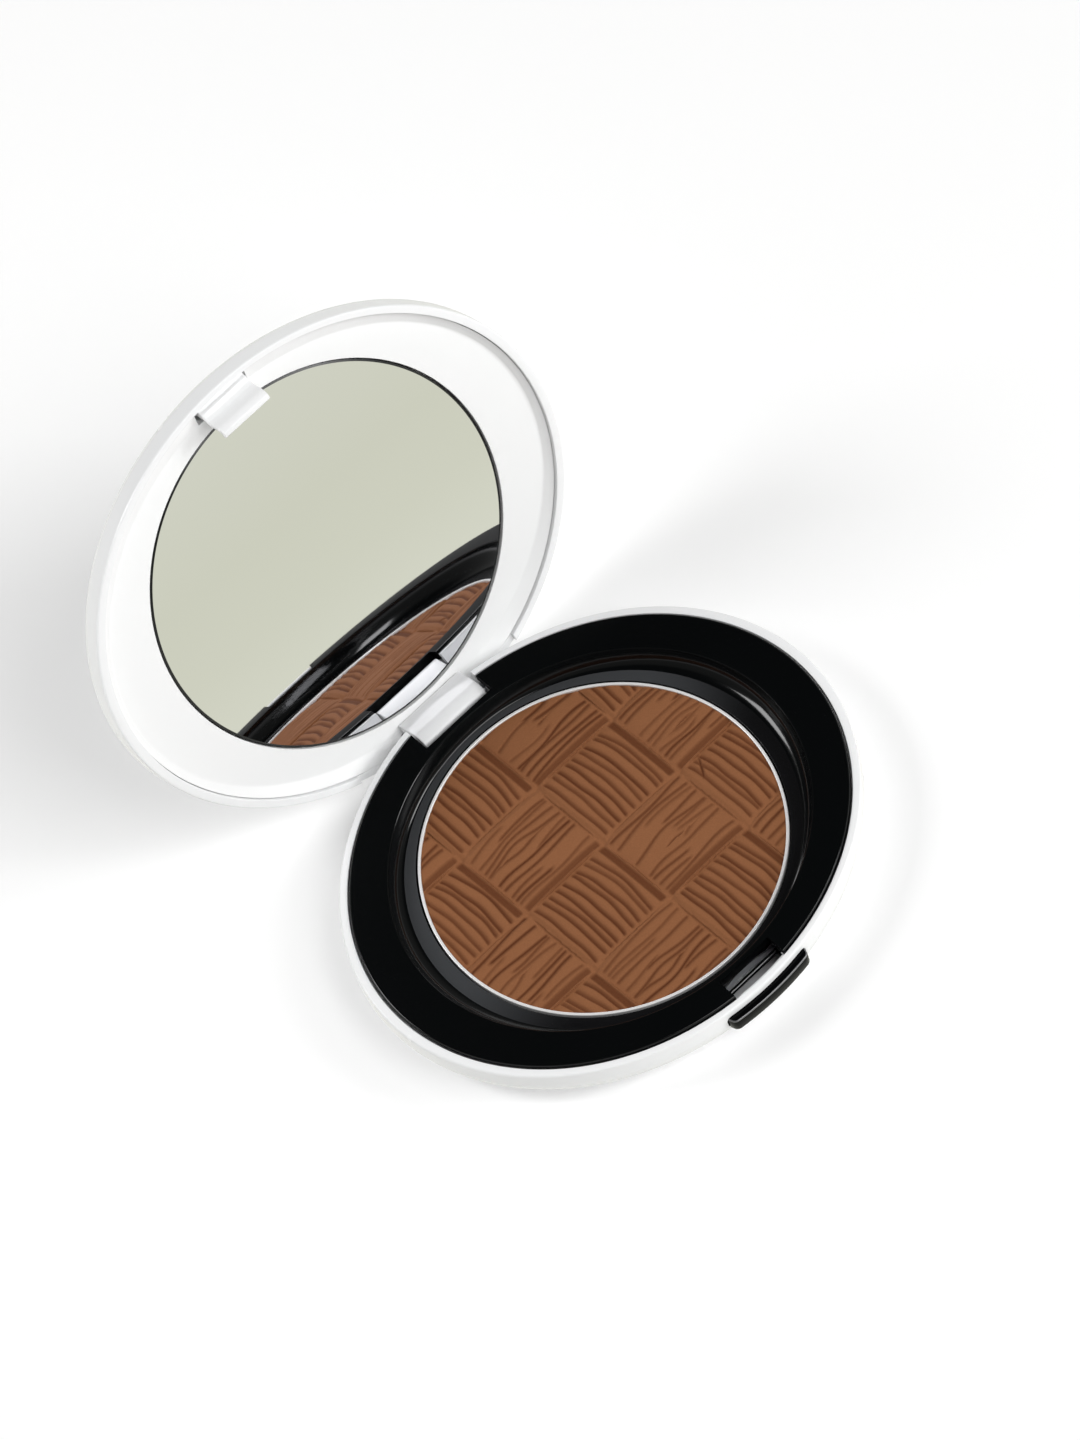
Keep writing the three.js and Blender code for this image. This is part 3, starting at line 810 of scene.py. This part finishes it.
# ---- Lid shell ----------------------------------------------------------------------------
lid_rings = [
    (0, 0, 0, LID_ROOF_Z),
    ring(FLAT_R, LID_ROOF_Z),
    *quarter(34, LID_INNER_R, LID_BEND_Z - 0.2, LID_ROOF_Z, 10, 90, 0),
    ring(LID_INNER_R, LID_RIM_Z, 0.2),
    ring(LID_R, LID_RIM_Z, 0.55),
    *quarter(35, LID_R, LID_BEND_Z, LID_TOP_Z, 22, 0, 90),
    ring(FLAT_R, LID_TOP_Z),
    (0, 0, 0, LID_TOP_Z),
]
lid = oval_body("case_lid", lid_rings, [WHITE])
cut(lid, rod_x("roll_cutter", LID_ROLL_R, -ROLL_HALF, ROLL_HALF, HINGE_Y, HINGE_Z))
finish_piece(lid, "lid", "white_plastic", "lid_shell")

LUG_FACE_Z = FRAME_FACE_Z - 0.3
lug_outline = [
    (HINGE_Y + 2.6, HINGE_Z), (HINGE_Y + 2.5, LID_RIM_Z), (HINGE_Y + 2.1, 12.3), (35.0, 12.3),
    (35.0, LUG_FACE_Z), (HINGE_Y - BARREL_R, LUG_FACE_Z),
]
lug_outline += [
    (HINGE_Y + BARREL_R * math.cos(a), HINGE_Z + BARREL_R * math.sin(a))
    for a in np.radians(np.linspace(180, 355, 30))
]
lug = bar_x("hinge_lug", lug_outline, -LUG_HALF, LUG_HALF, WHITE)
cut(lug, rod_x("bore_cutter", BORE_R, -8, 8, HINGE_Y, HINGE_Z))
soften(lug, 0.18, 3, 25)
finish_piece(lug, "lid", "white_plastic", "lid_shell")

hook_outline = [
    (-35.3, 13.1), (-37.3, 12.9), (-37.3, 9.5), (-36.5, 9.1), (-36.4, 8.6), (-35.6, 8.2),
    (-35.2, 7.6), (-35.2, 5.0), (-34.9, 4.2), (-34.4, 3.7), (-33.6, 3.7), (-33.3, 4.1),
    (-33.3, 4.6), (-34.25, 4.75), (-34.35, 7.6), (-35.3, 9.2),
]
hook = bar_x("latch_hook", hook_outline, -HOOK_HALF, HOOK_HALF, WHITE)
soften(hook, 0.16, 3, 25)
finish_piece(hook, "lid", "white_plastic", "lid_shell")

# ---- Mirror frame and mirror --------------------------------------------------------------
frame_rings = [
    (0, 0, 0, FRAME_SEAT_Z),
    round_ring(FRAME_HOLE_R, FRAME_SEAT_Z),
    round_ring(FRAME_HOLE_R, FRAME_FACE_Z, 0.12),
    (41.15, 34.6, 34.6, FRAME_FACE_Z, 0.5),
    (42.2, 36.95, 36.95, 9.9, 0.1),
    (42.27, 37.02, 37.02, 12.05),
    (33.6, 33.4, 33.4, 12.45),
    (33.6, 33.4, 33.4, FRAME_BACK_Z),
    (0, 0, 0, FRAME_BACK_Z),
]
bezel = oval_body("mirror_bezel", frame_rings, [BEZEL])
cut(
    bezel,
    block("hook_notch", -5.3, 5.3, -PAST_Y, -33.9, 8, 16, BEZEL),
    block("lug_notch", -7, 7, 34.5, PAST_Y, 8, 16, BEZEL),
)
finish_piece(bezel, "lid", "bezel_plastic", "mirror_frame")

mirror_rings = [
    (0, 0, 0, MIRROR_Z),
    round_ring(MIRROR_R - 0.35, MIRROR_Z),
    round_ring(MIRROR_R, MIRROR_Z + 0.15),
    round_ring(MIRROR_R, MIRROR_BACK_Z),
    (0, 0, 0, MIRROR_BACK_Z),
]


def mirror_material(one, other):
    """0 for the silvered face and 1 for the dark ground edge and the painted back."""
    return 0 if max(one[3], other[3]) < MIRROR_Z + 0.01 else 1


mirror = oval_body("mirror_disc", mirror_rings, [MIRROR, EDGE], mirror_material)
# A low angle keeps the face flat up to its ground edge, so its reflection stays true.
shade(mirror, 12)
finish_piece(mirror, "lid", "mirror", "mirror_glass")

# ---- CAD nodes that stay ------------------------------------------------------------------
for node, material in (
    ("hinge_pin", STEEL),
    ("button_spring", STEEL),
    ("pan_adhesive_disc", ADHESIVE),
    ("mirror_adhesive_pad", ADHESIVE),
):
    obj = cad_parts[node]
    obj.data.materials.clear()
    obj.data.materials.append(material)

# ---- Floor, light and world ---------------------------------------------------------------
FLOOR_HALF = 3000
floor = block("floor", -FLOOR_HALF, FLOOR_HALF, -FLOOR_HALF, FLOOR_HALF, -20, -0.05)
FLOOR, floor_shader, floor_tree = new_material("floor_white", (0.72, 0.72, 0.72), 0.9)
floor_shader.inputs["Emission Color"].default_value = (1, 1, 1, 1)
floor_shader.inputs["Emission Strength"].default_value = 0.28
floor.data.materials.append(FLOOR)
# Reflections pass the floor by and show the studio light that lies below the horizon.
floor.visible_glossy = False


def area_light(name, place, target, size, power):
    """A square white light of the given side in metres and power in watts, aimed at target."""
    data = bpy.data.lights.new(name, "AREA")
    data.energy = power
    data.size = size
    obj = bpy.data.objects.new(name, data)
    bpy.context.scene.collection.objects.link(obj)
    obj.location = place
    obj.rotation_mode = "QUATERNION"
    aim = Vector(target) - Vector(place)
    obj.rotation_quaternion = aim.to_track_quat("-Z", "Y")


area_light("key", (-0.45, 0.5, 0.6), (0, 0, 0), 0.3, 3.5)
area_light("fill", (0.2, -0.6, 0.9), (0, 0, 0.02), 0.6, 6.4)
area_light("front", (0.95, -0.85, 0.85), (0, 0, 0.03), 0.5, 8.8)

world = bpy.data.worlds.new("studio")
bpy.context.scene.world = world
world.use_nodes = True
nodes, links = world.node_tree.nodes, world.node_tree.links
background = nodes["Background"]
where = nodes.new("ShaderNodeTexCoord")
split = nodes.new("ShaderNodeSeparateXYZ")
ramp = nodes.new("ShaderNodeValToRGB")
# Direction's height, 0 straight down and 1 straight up, and the light that comes from there.
SKY = (
    (0.0, (1.0, 1.0, 0.9)),
    (0.398, (0.98, 0.98, 0.88)),
    (0.412, (0.84, 0.85, 0.72)),
    (0.424, (0.7, 0.71, 0.57)),
    (0.49, (1.0, 1.0, 1.0)),
    (0.53, (1.0, 1.0, 1.0)),
    (0.58, (0.28, 0.28, 0.27)),
    (0.8, (0.22, 0.22, 0.21)),
    (0.88, (0.05, 0.05, 0.05)),
    (1.0, (0.04, 0.04, 0.04)),
)
for i, (height, color) in enumerate(SKY):
    stop = ramp.color_ramp.elements[i] if i < 2 else ramp.color_ramp.elements.new(height)
    stop.position = height
    stop.color = (*color, 1)
shift = nodes.new("ShaderNodeMapRange")
shift.inputs["From Min"].default_value = -1
shift.inputs["From Max"].default_value = 1
links.new(where.outputs["Generated"], split.inputs["Vector"])
links.new(split.outputs["Z"], shift.inputs["Value"])
links.new(shift.outputs["Result"], ramp.inputs["Fac"])
links.new(ramp.outputs["Color"], background.inputs["Color"])
background.inputs["Strength"].default_value = 0.92
bpy.context.scene.view_settings.view_transform = "Standard"
